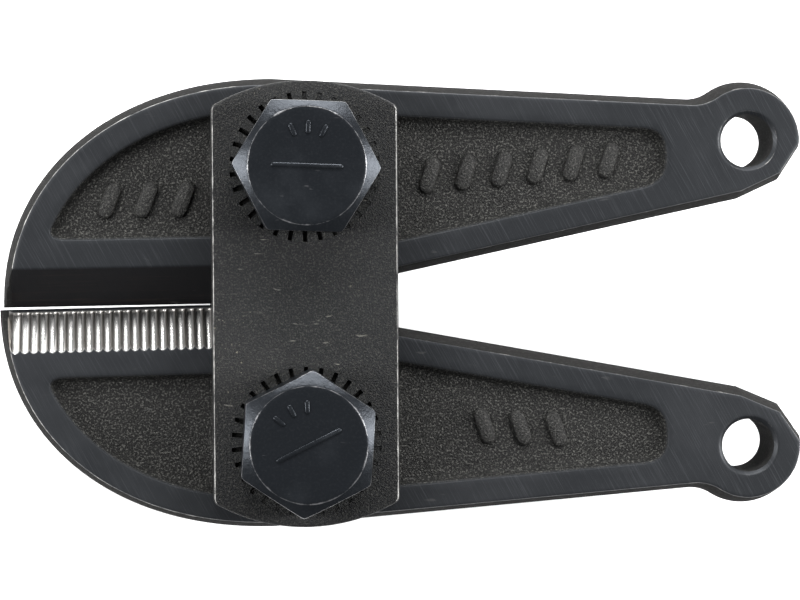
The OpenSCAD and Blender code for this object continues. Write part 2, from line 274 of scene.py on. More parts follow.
# %% Two height fields joined along their boundaries
def solid_between(name, boundaries, top, bottom, spacing):
    """A closed mesh. top and bottom are (creases, height function).

    Bottom heights are given as depths below the middle. A height function returns heights
    and a dict of named masks.
    """
    verts, faces, masks, rims = [], [], {}, []
    for sign, (creases, height) in ((1, top), (-1, bottom)):
        xy, tri, rim = triangulated(boundaries, creases, spacing)
        z, values = height(xy)
        index = {}
        if sign < 0:
            index = {i: shared for i, shared in zip(rim, rims[0]) if z[i] < 1e-3}
        for i, (x, y) in enumerate(xy):
            if i not in index:
                index[i] = len(verts)
                verts.append((x, y, sign * z[i]))
                for label, value in values.items():
                    masks.setdefault(label, []).append(value[i])
        rims.append([index[i] for i in rim])
        faces += [tuple(index[i] for i in t[::sign]) for t in tri]
    first = 0
    for loop in boundaries:
        for i in range(len(loop)):
            p, q = first + i, first + (i + 1) % len(loop)
            wall = [rims[1][p], rims[1][q], rims[0][q], rims[0][p]]
            wall = [v for k, v in enumerate(wall) if v not in wall[:k]]
            if len(wall) > 2:
                faces.append(tuple(wall))
        first += len(loop)
    mesh = bpy.data.meshes.new(name)
    mesh.from_pydata(verts, [], faces)
    for label, values in masks.items():
        mesh.attributes.new(label, "FLOAT", "POINT").data.foreach_set("value", np.array(values, np.float32))
    return mesh


# %% Finish a mesh as an object
COLLECTION = bpy.context.scene.collection


def finished(mesh, name, place, materials, sharp=35):
    """Drops unused points, closes seams, moves the mesh to its place in millimetres and then to metres."""
    work = bmesh.new()
    work.from_mesh(mesh)
    bmesh.ops.remove_doubles(work, verts=work.verts, dist=2e-4)
    loose = [v for v in work.verts if not v.link_faces]
    bmesh.ops.delete(work, geom=loose, context="VERTS")
    bmesh.ops.recalc_face_normals(work, faces=work.faces)
    work.to_mesh(mesh)
    open_edges = sum(1 for e in work.edges if len(e.link_faces) != 2)
    work.free()
    mesh.transform(Matrix.Scale(MM, 4) @ place)
    mesh.shade_smooth()
    mesh.set_sharp_from_angle(angle=math.radians(sharp))
    mesh.materials.clear()
    for material in materials:
        mesh.materials.append(material)
    obj = bpy.data.objects.new(name, mesh)
    COLLECTION.objects.link(obj)
    print(f"{name}: {len(mesh.polygons)} faces, {open_edges} open edges")
    return obj


# %% [markdown]
# ## Shared finishes
#
# The steel is blackened, not painted, so what the eye reads is the tooling: brush marks on
# the ground faces, a blasted grain in the forged pockets, bare metal where edges have
# rubbed. Each effect is a small node group that puts out one mask, and the materials
# decide what to do with it.


# %% Node helpers
def new_group(name, inputs, outputs):
    tree = bpy.data.node_groups.new(name, "ShaderNodeTree")
    for label, kind, value in inputs:
        socket = tree.interface.new_socket(name=label, in_out="INPUT", socket_type=kind)
        if value is not None:
            socket.default_value = value
    for label in outputs:
        tree.interface.new_socket(name=label, in_out="OUTPUT", socket_type="NodeSocketFloat")
    return tree, tree.nodes.new("NodeGroupInput"), tree.nodes.new("NodeGroupOutput")


def math_node(tree, operation, a, b, clamp=False):
    node = tree.nodes.new("ShaderNodeMath")
    node.operation, node.use_clamp = operation, clamp
    for socket, value in zip(node.inputs, (a, b)):
        if isinstance(value, (int, float)):
            socket.default_value = value
        else:
            tree.links.new(value, socket)
    return node.outputs[0]


def noise_node(tree, vector, scale, detail=4.0, rough=0.6, distortion=0.0):
    node = tree.nodes.new("ShaderNodeTexNoise")
    node.inputs["Detail"].default_value = detail
    node.inputs["Roughness"].default_value = rough
    node.inputs["Distortion"].default_value = distortion
    if isinstance(scale, (int, float)):
        node.inputs["Scale"].default_value = scale
    else:
        tree.links.new(scale, node.inputs["Scale"])
    tree.links.new(vector, node.inputs["Vector"])
    return node.outputs["Fac"]


def ramp(tree, value, low, high):
    node = tree.nodes.new("ShaderNodeMapRange")
    node.interpolation_type = "SMOOTHSTEP"
    for label, v in (("From Min", low), ("From Max", high)):
        if isinstance(v, (int, float)):
            node.inputs[label].default_value = v
        else:
            tree.links.new(v, node.inputs[label])
    tree.links.new(value, node.inputs["Value"])
    return node.outputs["Result"]


# %% Brush marks: noise drawn out along one direction
brush, brush_in, brush_out = new_group(
    "Brush marks",
    [("Vector", "NodeSocketVector", None), ("Turn", "NodeSocketVector", (0, 0, 0)),
     ("Stretch", "NodeSocketVector", (60, 1500, 60))],
    ["Marks"],
)
turned = brush.nodes.new("ShaderNodeMapping")
brush.links.new(brush_in.outputs["Vector"], turned.inputs["Vector"])
brush.links.new(brush_in.outputs["Turn"], turned.inputs["Rotation"])
drawn = brush.nodes.new("ShaderNodeMapping")
brush.links.new(turned.outputs[0], drawn.inputs["Vector"])
brush.links.new(brush_in.outputs["Stretch"], drawn.inputs["Scale"])
brush.links.new(noise_node(brush, drawn.outputs[0], 1.0, 5, 0.65), brush_out.inputs["Marks"])

# %% Blasted grain: pits of two sizes, and the light spots that rubbing leaves between them
grain, grain_in, grain_out = new_group(
    "Blasted grain",
    [("Vector", "NodeSocketVector", None), ("Scale", "NodeSocketFloat", 1500.0)],
    ["Height", "Speckle"],
)
coarse = noise_node(grain, grain_in.outputs["Vector"], grain_in.outputs["Scale"], 3, 0.7)
fine_scale = math_node(grain, "MULTIPLY", grain_in.outputs["Scale"], 2.7)
fine = noise_node(grain, grain_in.outputs["Vector"], fine_scale, 2, 0.5)
grain.links.new(math_node(grain, "ADD", math_node(grain, "MULTIPLY", coarse, 0.7),
                          math_node(grain, "MULTIPLY", fine, 0.3)), grain_out.inputs["Height"])
spot_scale = math_node(grain, "MULTIPLY", grain_in.outputs["Scale"], 1.15)
spots = noise_node(grain, grain_in.outputs["Vector"], spot_scale, 1, 0.5)
grain.links.new(ramp(grain, spots, 0.48, 0.74), grain_out.inputs["Speckle"])

# %% Flecks: short nicks that lie a few degrees either side of one direction
flecks, flecks_in, flecks_out = new_group(
    "Flecks",
    [("Vector", "NodeSocketVector", None), ("Scale", "NodeSocketFloat", 260.0),
     ("Turn", "NodeSocketVector", (0, 0, 0.7))],
    ["Mask"],
)
lain = flecks.nodes.new("ShaderNodeMapping")
lain.inputs["Scale"].default_value = (1.0, 5.0, 1.0)
flecks.links.new(flecks_in.outputs["Vector"], lain.inputs["Vector"])
flecks.links.new(flecks_in.outputs["Turn"], lain.inputs["Rotation"])
drawn_out = noise_node(flecks, lain.outputs[0], flecks_in.outputs["Scale"], 2, 0.5, 0.3)
nick = ramp(flecks, drawn_out, 0.70, 0.76)
patch = ramp(flecks, noise_node(flecks, flecks_in.outputs["Vector"], 130, 2), 0.50, 0.62)
flecks.links.new(math_node(flecks, "MULTIPLY", nick, patch), flecks_out.inputs["Mask"])

# %% Worn edges: the edge mask kept in the mesh, roughened by noise
wear, wear_in, wear_out = new_group(
    "Worn edges",
    [("Vector", "NodeSocketVector", None), ("Edge", "NodeSocketFloat", 0.0),
     ("Amount", "NodeSocketFloat", 0.5)],
    ["Mask"],
)
uneven = noise_node(wear, wear_in.outputs["Vector"], 420, 5, 0.7)
level = math_node(wear, "ADD", wear_in.outputs["Edge"], math_node(wear, "SUBTRACT", uneven, 0.5))
start = math_node(wear, "SUBTRACT", 1.05, wear_in.outputs["Amount"])
wear.links.new(ramp(wear, level, start, math_node(wear, "ADD", start, 0.3)), wear_out.inputs["Mask"])
print("finish groups:", [g.name for g in bpy.data.node_groups])


# %% A material to build on
class Finish:
    """A steel finish: a base colour that masks mix over, a roughness and a bump."""

    def __init__(self, name, colour, metallic, roughness, gloss=0.3):
        self.material = bpy.data.materials.new(name)
        self.material.use_nodes = True
        self.tree = self.material.node_tree
        self.shader = self.tree.nodes["Principled BSDF"]
        self.shader.inputs["Metallic"].default_value = metallic
        self.shader.inputs["Specular IOR Level"].default_value = gloss
        self.vector = self.tree.nodes.new("ShaderNodeTexCoord").outputs["Object"]
        self.colour = self.rgb(colour)
        self.rough = math_node(self.tree, "ADD", roughness, 0.0)
        self.height = None

    def rgb(self, colour):
        node = self.tree.nodes.new("ShaderNodeRGB")
        node.outputs[0].default_value = (*colour, 1)
        return node.outputs[0]

    def mask(self, name):
        node = self.tree.nodes.new("ShaderNodeAttribute")
        node.attribute_name = name
        return node.outputs["Fac"]

    def group(self, tree, **values):
        node = self.tree.nodes.new("ShaderNodeGroup")
        node.node_tree = tree
        self.tree.links.new(self.vector, node.inputs["Vector"])
        for label, value in values.items():
            if isinstance(value, bpy.types.NodeSocket):
                self.tree.links.new(value, node.inputs[label])
            else:
                node.inputs[label].default_value = value
        return node.outputs

    def over(self, mask, colour, roughness=None):
        """Lays a colour and a roughness over the finish wherever the mask is white."""
        mix = self.tree.nodes.new("ShaderNodeMix")
        mix.data_type = "RGBA"
        self.tree.links.new(mask, mix.inputs[0])
        self.tree.links.new(self.colour, mix.inputs[6])
        self.tree.links.new(self.rgb(colour), mix.inputs[7])
        self.colour = mix.outputs[2]
        if roughness is not None:
            rough = self.tree.nodes.new("ShaderNodeMix")
            self.tree.links.new(mask, rough.inputs[0])
            self.tree.links.new(self.rough, rough.inputs[2])
            rough.inputs[3].default_value = roughness
            self.rough = rough.outputs[0]
        return self

    def shine(self, mask):
        """Bare metal wherever the mask is white."""
        node = self.tree.nodes.new("ShaderNodeMapRange")
        node.inputs["To Min"].default_value = self.shader.inputs["Metallic"].default_value
        self.tree.links.new(mask, node.inputs["Value"])
        self.tree.links.new(node.outputs["Result"], self.shader.inputs["Metallic"])
        return self

    def relief(self, height, strength):
        """Adds to the bump; strength is in millimetres."""
        part = math_node(self.tree, "MULTIPLY", height, strength)
        self.height = part if self.height is None else math_node(self.tree, "ADD", self.height, part)
        return self

    def done(self):
        self.tree.links.new(self.colour, self.shader.inputs["Base Color"])
        self.tree.links.new(self.rough, self.shader.inputs["Roughness"])
        if self.height is not None:
            bump = self.tree.nodes.new("ShaderNodeBump")
            bump.inputs["Distance"].default_value = MM
            self.tree.links.new(self.height, bump.inputs["Height"])
            self.tree.links.new(bump.outputs[0], self.shader.inputs["Normal"])
        return self.material


# %% [markdown]
# ## Jaw steel
#
# One material covers both faces of a jaw. The mesh carries masks that say what was done to
# each part of it: ground flat, left as forged, or ground to a bevel, and one that marks the
# shallow flanks of the flutes. Two colours are painted shade: the smooth bevel is darkened
# nearly to black, and the flute flanks are darkened so that a bright stripe runs down each
# groove. A mask blends over the width of one triangle, as a ground face runs out over a forged
# one. The drafted sides and the bores are never ground after blackening, so a second, duller
# material covers them.

# %% Jaw finish
def jaw_finish():
    f = Finish("blackened jaw steel", (0.0148, 0.0162, 0.0182), 0.5, 0.46, 0.22)
    marks = f.group(brush, Turn=(0, 0, math.radians(62)), Stretch=(120, 5200, 120))["Marks"]
    blotch = noise_node(f.tree, f.vector, 45, 4)
    f.over(ramp(f.tree, blotch, 0.42, 0.72), (0.021, 0.0225, 0.025), 0.5)
    f.over(ramp(f.tree, marks, 0.5, 0.74), (0.035, 0.0372, 0.0405), 0.4)
    ground = math_node(f.tree, "SUBTRACT", 1.0, f.mask("fluted"))
    f.relief(math_node(f.tree, "MULTIPLY", marks, ground), 0.025)
    pits = f.group(grain, Scale=3300.0)
    rough_skin = f.mask("forged")
    f.over(rough_skin, (0.0068, 0.0067, 0.0064), 0.55)
    f.over(math_node(f.tree, "MULTIPLY", rough_skin, pits["Speckle"]), (0.052, 0.0515, 0.047), 0.45)
    f.relief(math_node(f.tree, "MULTIPLY", pits["Height"], rough_skin), 0.36)
    level_marks = f.group(brush, Turn=(0, 0, 0), Stretch=(60, 3200, 900))["Marks"]
    # Painted shade: the smooth bevel is coloured near-black, darker than the ground faces around it.
    f.over(f.mask("bevel"), (0.0085, 0.0085, 0.0095), 0.34)
    tint = math_node(f.tree, "MULTIPLY", ramp(f.tree, level_marks, 0.5, 0.75),
                     ramp(f.tree, blotch, 0.35, 0.6))
    f.over(math_node(f.tree, "MULTIPLY", f.mask("bevel"), tint), (0.030, 0.021, 0.017), 0.36)
    f.over(f.mask("fluted"), (0.78, 0.77, 0.75), 0.24)
    f.shine(f.mask("fluted"))
    # Painted shade: the shallow flanks of each flute are darkened, so that a bright stripe runs down the
    # middle of each groove.
    f.over(f.mask("painted_flute_shade"), (0.085, 0.078, 0.070), 0.34)
    nicks = f.group(flecks, Scale=260.0)["Mask"]
    f.over(math_node(f.tree, "MULTIPLY", nicks, 0.3), (0.08, 0.08, 0.078), 0.4)
    worn = f.group(wear, Edge=f.mask("edge"), Amount=0.5)["Mask"]
    f.over(worn, (0.30, 0.295, 0.28), 0.34)
    return f.done()


def side_finish():
    """The drafted sides keep their forging scale, which is dull and nearly black."""
    f = Finish("scaled jaw sides", (0.0095, 0.0094, 0.0092), 0.0, 0.9, 0.03)
    f.over(f.group(grain, Scale=2600.0)["Speckle"], (0.017, 0.0168, 0.016), 0.85)
    f.over(f.group(wear, Edge=f.mask("edge"), Amount=0.46)["Mask"], (0.34, 0.335, 0.32), 0.5)
    return f.done()


JAW_STEEL = jaw_finish()
SIDE_SKIN = side_finish()

# %% [markdown]
# ## The jaws
#
# A jaw is a drop forging with its parting line at half its thickness, so both faces lean in
# by the draft. The cutting side is then ground: smooth on the face that meets the work
# first, and fluted on the other so that the work can't slide out. Both jaws are the same
# forging; the lower one is turned over, which is why its flutes are on the other face.


# %% The outline at the parting line
def flats_meet(centre, a, ra, b, rb):
    a_rad, b_rad = math.radians(a), math.radians(b)
    return np.array(centre) + np.array([
        ra * math.sin(b_rad) - rb * math.sin(a_rad), rb * math.cos(a_rad) - ra * math.cos(b_rad)
    ]) / math.sin(b_rad - a_rad)


SHOULDER_RISE = PIVOT_RISE + SHOULDER_OVER_PIVOT
CREST = np.array([-CREST_AHEAD, SHOULDER_RISE])
EYE = np.array([ARM_REACH, EYE_RISE])
HEEL = np.array([-HEEL_AHEAD, HALF_GAP])
NOSE_A = TIP_REACH - CREST_AHEAD
back_angle = math.degrees(math.atan2(EYE[1] + NECK_OVER_EYE - CREST[1], EYE[0] - CREST[0]))
inner_depth = EYE_R - 0.5 * LOW_GRIND
inner_angle = math.degrees(
    math.atan2(EYE[1] - HEEL[1], EYE[0] - HEEL[0]) - math.asin(inner_depth / np.linalg.norm(EYE - HEEL))
)


def nose(inset, first, steps):
    """The nose is a quarter of a superellipse, from the crest down to its first angle."""
    angles = np.radians(np.linspace(90, first, steps))
    return [np.array([
        CREST[0] - (NOSE_A - inset) * max(math.cos(t), 0) ** (2 / NOSE_POWER),
        (SHOULDER_RISE - inset) * math.sin(t) ** (2 / NOSE_POWER),
    ]) for t in angles]


def nose_first(y, inset):
    return math.degrees(math.asin((y / (SHOULDER_RISE - inset)) ** (NOSE_POWER / 2)))


def nose_x(y, inset):
    share = 1 - (y / (SHOULDER_RISE - inset)) ** NOSE_POWER
    return CREST[0] - (NOSE_A - inset) * share ** (1 / NOSE_POWER)


# %% Neck, eye and heel close the outline
normal = np.array([-math.sin(math.radians(back_angle)), math.cos(math.radians(back_angle))])
neck_drop = (EYE - CREST) @ normal
neck_centre = EYE + (NECK_R - neck_drop) * normal - math.sqrt(
    (EYE_R + NECK_R) ** 2 - (NECK_R - neck_drop) ** 2
) * along(back_angle)
neck_to_eye = math.degrees(math.atan2(neck_centre[1] - EYE[1], neck_centre[0] - EYE[0]))
LOW_FLAT, SIDE_FLAT = -66, -34
end_r, low_r = EYE_R - END_GRIND, EYE_R - LOW_GRIND
round_start = SIDE_FLAT + math.degrees(math.acos(end_r / EYE_R))
drafted = [
    HEEL,
    flats_meet(EYE, inner_angle - 90, inner_depth, LOW_FLAT, low_r),
    flats_meet(EYE, LOW_FLAT, low_r, SIDE_FLAT, end_r),
    *arc(EYE, EYE_R, round_start, neck_to_eye, 44),
    *arc(neck_centre, NECK_R, neck_to_eye + 180, back_angle + 270, 12)[1:],
    *nose(0, nose_first(HALF_GAP, 0), 90),
]
DRAFTED = spaced(drafted, 0.8, closed=False)
CUT_SIDE = spaced([DRAFTED[-1], HEEL], 0.61, closed=False)
OUTLINE = np.vstack([DRAFTED, CUT_SIDE[1:-1]])
low, high = OUTLINE.min(0), OUTLINE.max(0)
print(f"jaw outline: {len(OUTLINE)} points, {high[0] - low[0]:.1f} by {high[1] - low[1]:.1f} mm")

# %% The pockets
RIM = DRAFT + RIM_W


def floor_of_arm(x):
    a = math.radians(inner_angle)
    return HEEL[1] + (x - HEEL[0]) * math.tan(a) + RIM / math.cos(a)


def back_of_arm(x):
    a = math.radians(back_angle)
    return CREST[1] + (x - CREST[0]) * math.tan(a) - RIM / math.cos(a)


low_y = HALF_GAP + BEVEL_W + BEVEL_RIM_W
low_x = nose_x(low_y, RIM)
NOSE_POCKET = spaced(
    bend([nose_x(low_y + 2, RIM), low_y + 2], [low_x, low_y], [low_x + 3, low_y])
    + [np.array([CREST[0], low_y])] + nose(RIM, nose_first(low_y + 3, RIM), 40), 0.5
)
pocket_end = EYE[0] - EYE_R - EYE_RIM_W
end_bend = 0.44 * (back_of_arm(pocket_end) - floor_of_arm(pocket_end))
ARM_POCKET = spaced(
    [np.array([3, floor_of_arm(3)])]
    + bend([pocket_end - end_bend, floor_of_arm(pocket_end - end_bend)],
           [pocket_end, floor_of_arm(pocket_end)], [pocket_end, floor_of_arm(pocket_end) + end_bend])
    + bend([pocket_end, back_of_arm(pocket_end) - end_bend],
           [pocket_end, back_of_arm(pocket_end)],
           [pocket_end - end_bend, back_of_arm(pocket_end - end_bend)])
    + [np.array([3, back_of_arm(3)])], 0.5
)
PIVOT = np.array([0.0, PIVOT_RISE])
print(f"arm pocket ends at {pocket_end:.1f}, nose pocket starts at {low_x:.1f}")

# %% Flutes across the bevel
bevel_rise = (HALF_T - EDGE_LAND / 2) / BEVEL_W
bevel_cos = math.cos(math.atan(bevel_rise))
flute_r = 1.02 * ((FLUTE_PITCH / 2) ** 2 + FLUTE_DEPTH**2) / (2 * FLUTE_DEPTH)
flute_count = 1 + math.floor((TIP_REACH - HEEL_AHEAD - 2 * FLUTE_MARGIN) / FLUTE_PITCH)
first_flute = -HEEL_AHEAD - FLUTE_MARGIN
flute_start = HALF_GAP + FLUTE_LAND * bevel_cos


def flute_depth_at(x):
    """How deep the flutes are cut below the bevel, measured square to it."""
    nearest = np.clip(np.round((first_flute - x) / FLUTE_PITCH), 0, flute_count - 1)
    off = np.abs(x - (first_flute - nearest * FLUTE_PITCH))
    return np.maximum(np.sqrt(np.maximum(flute_r**2 - off**2, 0)) - (flute_r - FLUTE_DEPTH), 0)


def flute_top(x):
    """Where a flute runs out on the face."""
    return HALF_GAP + BEVEL_W + flute_depth_at(x) / bevel_cos / bevel_rise


print(f"{flute_count} flutes, {FLUTE_PITCH} mm apart")


# %% The height of a jaw's face over its middle
def jaw_height(fluted):
    def height(p):
        x, y = p[:, 0], p[:, 1]
        edge = distance(p, DRAFTED, closed=False)
        z = smaller(edge * HALF_T / DRAFT, np.full(len(p), HALF_T), 0.9)
        bevel = EDGE_LAND / 2 + (y - HALF_GAP) * bevel_rise + np.maximum(0, x + HEEL_AHEAD + HEEL_FLAT) * 12
        groove = np.zeros(len(p))
        if fluted:
            groove = flute_depth_at(x) * ease(flute_start, flute_start + 0.2, y)
        z = smaller(z, bevel - groove / bevel_cos, 0.05 if fluted else 0.12)
        inside = np.maximum(depth_inside(p, NOSE_POCKET), depth_inside(p, ARM_POCKET))
        inside = np.minimum(inside, np.linalg.norm(p - PIVOT, axis=1) - BOSS_R)
        floor = ease(-0.1, POCKET_SLOPE, inside)
        uneven = np.array([noise.noise(Vector((a * 0.5, b * 0.5, 3.0 + fluted))) for a, b in p])
        z = z - POCKET_DEPTH * floor + 0.07 * uneven * ease(0.5, 1.6, inside)
        eye = np.linalg.norm(p - EYE, axis=1)
        z = smaller(z, HALF_T - EYE_CHAMFER + np.maximum(eye - EYE_BORE_R, 0) * 1.0, 0.12)
        z = np.where(edge < 1e-6, 0, np.clip(z, 0, HALF_T))
        on_bevel = ease(0.06, 0.12, HALF_T - bevel + groove / bevel_cos) * (x < -HEEL_AHEAD - HEEL_FLAT)
        on_bevel = on_bevel * ease(0.5, 0.9, edge)
        rubbed = (0.62 + 0.16 * ease(4, -20, x)) * (y > HALF_GAP + BEVEL_W)
        worn = np.maximum.reduce([
            rubbed * np.exp(-((edge - DRAFT) / 0.09) ** 2),
            0.45 * np.exp(-((inside - 0.03) / 0.10) ** 2),
            0.4 * np.exp(-((HALF_T - bevel) / 0.10) ** 2) * (x < -HEEL_AHEAD) * (0 if fluted else 1),
            0.6 * np.exp(-((eye - EYE_BORE_R - EYE_CHAMFER) / 0.10) ** 2),
        ])
        cut = on_bevel * ease(flute_start - 0.05, flute_start + 0.2, y) * (1 if fluted else 0)
        return z, {
            "forged": ease(0.0, 0.35, inside),
            "draft": 1 - ease(DRAFT * 0.8, DRAFT, edge),
            "bevel": on_bevel * (0 if fluted else 1),
            "fluted": cut,
            # painted shade on the shallow flanks of the flutes, which leaves a bright stripe down each
            # groove
            "painted_flute_shade": (1 - ease(0.45, 0.8, groove / FLUTE_DEPTH)) * cut,
            "edge": worn,
        }
    return height


# %% Crease lines of a jaw
def circle(centre, radius, count, clockwise=False):
    turn = -1 if clockwise else 1
    return np.array([np.array(centre) + radius * along(turn * 360 * i / count) for i in range(count)])


def jaw_creases(fluted):
    lines = []
    for inset in (0.45, 0.82, 0.95, 1.05, 1.15, 1.28, 1.6):
        row = ring(OUTLINE, inset)
        lines.append((row[row[:, 1] > HALF_GAP + 0.9 * inset], False))
    for inset in (-0.12, 0.05, 0.2, 0.38, 0.58, 0.82, 1.08):
        for pocket in (NOSE_POCKET, ARM_POCKET):
            row = ring(pocket, inset)
            lines.append((row[np.linalg.norm(row - PIVOT, axis=1) > BOSS_R + 0.2], False))
    for extra in (0.15, 0.38, 0.45, 0.56, 0.8):
        lines.append((circle(EYE, EYE_BORE_R + extra, 72), True))
    columns = np.linspace(-HEEL_AHEAD - HEEL_FLAT, low[0] + 0.7, 42)
    rows = [HALF_GAP + 0.12, HALF_GAP + 0.26]
    if fluted:
        share = FLUTE_PITCH * np.array([-0.5, -0.36, -0.18, 0, 0.18, 0.36])
        columns = np.concatenate([first_flute - i * FLUTE_PITCH - share for i in range(flute_count)])
        for x in columns:
            top = float(flute_top(np.array([x]))[0])
            stops = [flute_start, flute_start + 0.1, flute_start + 0.2, 1.6, 2.7, 3.8, 4.9]
            stops += [top - 0.2, top - 0.08, top]
            lines.append((np.array([(x, y) for y in stops]), False))
        for lift in (0.0, 0.12):
            lines.append((np.stack([columns, flute_top(columns) + lift], 1), False))
        rows += [flute_start, flute_start + 0.2]
    else:
        rows += [HALF_GAP + BEVEL_W + s for s in (-0.25, -0.08, 0.0, 0.08, 0.3)]
    for y in rows:
        lines.append((np.array([(x, y) for x in columns]), False))
    safe = []
    for line, closed in lines:
        clear = distance(line, OUTLINE) > (0.1 if closed else 0.11)
        clear &= np.linalg.norm(line - PIVOT, axis=1) > PIVOT_BORE_R + 0.2
        safe.append((line[clear], closed and clear.all()))
    return [(line, closed) for line, closed in safe if len(line) > 1]


# %% Make both jaws from one forging
JAW_BOUNDARIES = [
    OUTLINE,
    circle(EYE, EYE_BORE_R, 72, clockwise=True),
    circle(PIVOT, PIVOT_BORE_R, 72, clockwise=True),
]
forging = solid_between(
    "forging", JAW_BOUNDARIES,
    (jaw_creases(False), jaw_height(False)),
    (jaw_creases(True), jaw_height(True)),
    0.8,
)
to_pivot = Matrix.Translation((0, -PIVOT_RISE, 0))
JAW_PLACES = {
    "upper": Matrix.Translation(UPPER) @ Matrix.Rotation(-REST_OPENING, 4, "Z") @ to_pivot,
    "lower": Matrix.Translation(LOWER) @ Matrix.Rotation(REST_OPENING, 4, "Z")
    @ Matrix.Rotation(math.pi, 4, "X") @ to_pivot,
}
for which, place in JAW_PLACES.items():
    jaw = finished(forging.copy(), f"{which}_forged_jaw", place, [JAW_STEEL, SIDE_SKIN])
    draft = np.zeros(len(jaw.data.vertices), np.float32)
    jaw.data.attributes["draft"].data.foreach_get("value", draft)
    for face in jaw.data.polygons:
        drafted = max(draft[v] for v in face.vertices) > 0.2
        face.material_index = int(drafted or abs(face.normal.z) < 0.3)
    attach(jaw, f"{which}_jaw_body")
    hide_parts(f"{which}_jaw")

# %% [markdown]
# ## Rows and rings
#
# Raised bars, pressed teeth and head marks are each one small shape repeated. Geometry
# Nodes place the copies: the shape is made once, and the tree decides how many there are
# and where they go. A row steps along a line, and a ring turns about the middle.


# %% Geometry Nodes helpers
def new_tree(name, inputs):
    tree = bpy.data.node_groups.new(name, "GeometryNodeTree")
    for label, kind in inputs:
        tree.interface.new_socket(name=label, in_out="INPUT", socket_type=kind)
    tree.interface.new_socket(name="Geometry", in_out="OUTPUT", socket_type="NodeSocketGeometry")
    return tree, tree.nodes.new("NodeGroupInput").outputs, tree.nodes.new("NodeGroupOutput").inputs


def add(tree, kind, links=None, **values):
    node = tree.nodes.new(kind)
    for label, value in values.items():
        setattr(node, label, value)
    for label, source in (links or {}).items():
        if isinstance(source, bpy.types.NodeSocket):
            tree.links.new(source, node.inputs[label])
        else:
            node.inputs[label].default_value = source
    return node.outputs


def place_copies(tree, given, end, points, turns):
    """Puts the piece on the points, makes it real and gives it its material."""
    piece = add(tree, "GeometryNodeObjectInfo", {"Object": given["Piece"]})
    copies = add(tree, "GeometryNodeInstanceOnPoints",
                 {"Points": points, "Instance": piece["Geometry"], "Rotation": turns})
    real = add(tree, "GeometryNodeRealizeInstances", {"Geometry": copies[0]})
    painted = add(tree, "GeometryNodeSetMaterial", {"Geometry": real[0], "Material": given["Material"]})
    tree.links.new(painted[0], end["Geometry"])


def made_by_nodes(name, tree, values):
    """Runs a tree with these inputs and returns its result as a plain mesh."""
    host = bpy.data.objects.new(name + "_host", bpy.data.meshes.new(name + "_host"))
    COLLECTION.objects.link(host)
    modifier = host.modifiers.new(name, "NODES")
    modifier.node_group = tree
    for item in tree.interface.items_tree:
        if item.in_out == "INPUT":
            modifier[item.identifier] = values[item.name]
    bpy.context.view_layer.update()
    shown = host.evaluated_get(bpy.context.evaluated_depsgraph_get())
    mesh = bpy.data.meshes.new_from_object(shown)
    mesh.name = name
    bpy.data.objects.remove(host)
    print(f"{name}: {len(mesh.polygons)} faces from nodes")
    return mesh


# %% A row along a line
row_tree, given, end = new_tree("Row of copies", [
    ("Piece", "NodeSocketObject"), ("Count", "NodeSocketInt"), ("Step", "NodeSocketVector"),
    ("Lean", "NodeSocketFloat"), ("Material", "NodeSocketMaterial"),
])
line = add(row_tree, "GeometryNodeMeshLine", {"Count": given["Count"], "Offset": given["Step"]})
lean = add(row_tree, "ShaderNodeCombineXYZ", {"Z": given["Lean"]})
place_copies(row_tree, given, end, line["Mesh"], lean[0])

# %% A ring about the middle
ring_tree, given, end = new_tree("Ring of copies", [
    ("Piece", "NodeSocketObject"), ("Count", "NodeSocketInt"), ("First", "NodeSocketFloat"),
    ("Step", "NodeSocketFloat"), ("Material", "NodeSocketMaterial"),
])
spots = add(ring_tree, "GeometryNodePoints", {"Count": given["Count"]})
index = add(ring_tree, "GeometryNodeInputIndex")
stepped = math_node(ring_tree, "MULTIPLY", index[0], given["Step"])
angle = math_node(ring_tree, "ADD", stepped, given["First"])
turn = add(ring_tree, "ShaderNodeCombineXYZ", {"Z": angle})
place_copies(ring_tree, given, end, spots[0], turn[0])


# %% A low pad with rounded sides, the shape that is copied
def pad(name, outline, height, shoulder, sink):
    """A raised pad whose sides lean in by shoulder.

    It goes on down by sink, so that it roots in what it stands on.
    """
    base = np.array(outline)
    levels = [(0.0, -sink), (0.15 * shoulder, 0.25 * height)]
    levels += [(0.45 * shoulder, 0.75 * height), (shoulder, height)]
    verts, faces, count = [], [], len(base)
    centre = base.mean(0)
    reach = np.linalg.norm(base - centre, axis=1)[:, None]
    for inset, z in levels:
        verts += [(x, y, z) for x, y in centre + (base - centre) * (1 - np.minimum(inset / reach, 0.8))]
    for k in range(len(levels) - 1):
        for i in range(count):
            j = (i + 1) % count
            faces.append((k * count + i, k * count + j, (k + 1) * count + j, (k + 1) * count + i))
    faces += [tuple(range(count - 1, -1, -1)), tuple(range(3 * count, 4 * count))]
    mesh = bpy.data.meshes.new(name)
    mesh.from_pydata(verts, [], faces)
    obj = bpy.data.objects.new(name, mesh)
    COLLECTION.objects.link(obj)
    return obj


def capsule(length, width, steps=8):
    end = (length - width) / 2
    return arc([end, 0], width / 2, -90, 90, steps) + arc([-end, 0], width / 2, 90, 270, steps)


# %% [markdown]
# ## Raised marks in the pockets
#
# The die leaves raised marks on the pocket floors. Plain slanted bars stand in for them:
# they have the size and the soft, pressed edges of such marks, and say nothing.

# %% Forged skin for the raised bars
def bar_finish():
    f = Finish("forged bar skin", (0.0110, 0.0108, 0.0104), 0.6, 0.48)
    pits = f.group(grain, Scale=3300.0)
    f.over(pits["Speckle"], (0.044, 0.0435, 0.040), 0.46)
    f.relief(pits["Height"], 0.3)
    f.over(f.group(flecks, Scale=420.0)["Mask"], (0.085, 0.083, 0.075), 0.4)
    return f.done()


BAR_SKIN = bar_finish()

